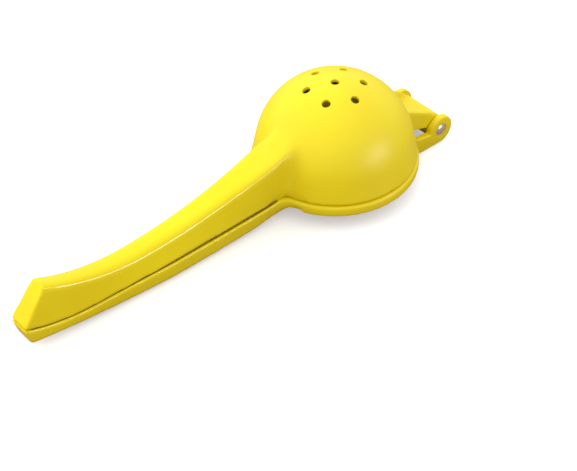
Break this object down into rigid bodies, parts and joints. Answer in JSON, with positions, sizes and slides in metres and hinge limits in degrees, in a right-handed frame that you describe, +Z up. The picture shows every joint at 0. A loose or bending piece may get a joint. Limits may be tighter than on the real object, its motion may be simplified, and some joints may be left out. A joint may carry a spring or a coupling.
{
  "type": "hinged lemon squeezer",
  "caption": "Hinged citrus squeezer with two long cast handles, a perforated bowl that closes over a domed plunger, and a steel hinge pin.",
  "frame": {"origin": "on the surface that the closed squeezer stands on, under the middle of its length and width", "axes": "+X from the handle tips towards the hinge, +Y along the hinge pin, +Z up, with the bowl's dome on top"},
  "size_m": [0.2102, 0.069, 0.0476],
  "materials": {
    "bowl_enamel": "glossy lemon-yellow enamel on cast aluminium",
    "plunger_enamel": "glossy lemon-yellow enamel on cast aluminium",
    "pin_steel": "plain bright steel"
  },
  "bodies": {
    "plunger_arm": {"plunger_arm": "plunger_enamel", "hinge_pin": "pin_steel"},
    "bowl_arm": {"bowl_arm": "bowl_enamel"}
  },
  "joints": [
    {"name": "arm_hinge", "type": "hinge", "parent": "plunger_arm", "child": "bowl_arm", "pos_m": [0.09875, 0, 0.0064], "axis": [0, 1, 0], "range_deg": [0, 135]}
  ]
}
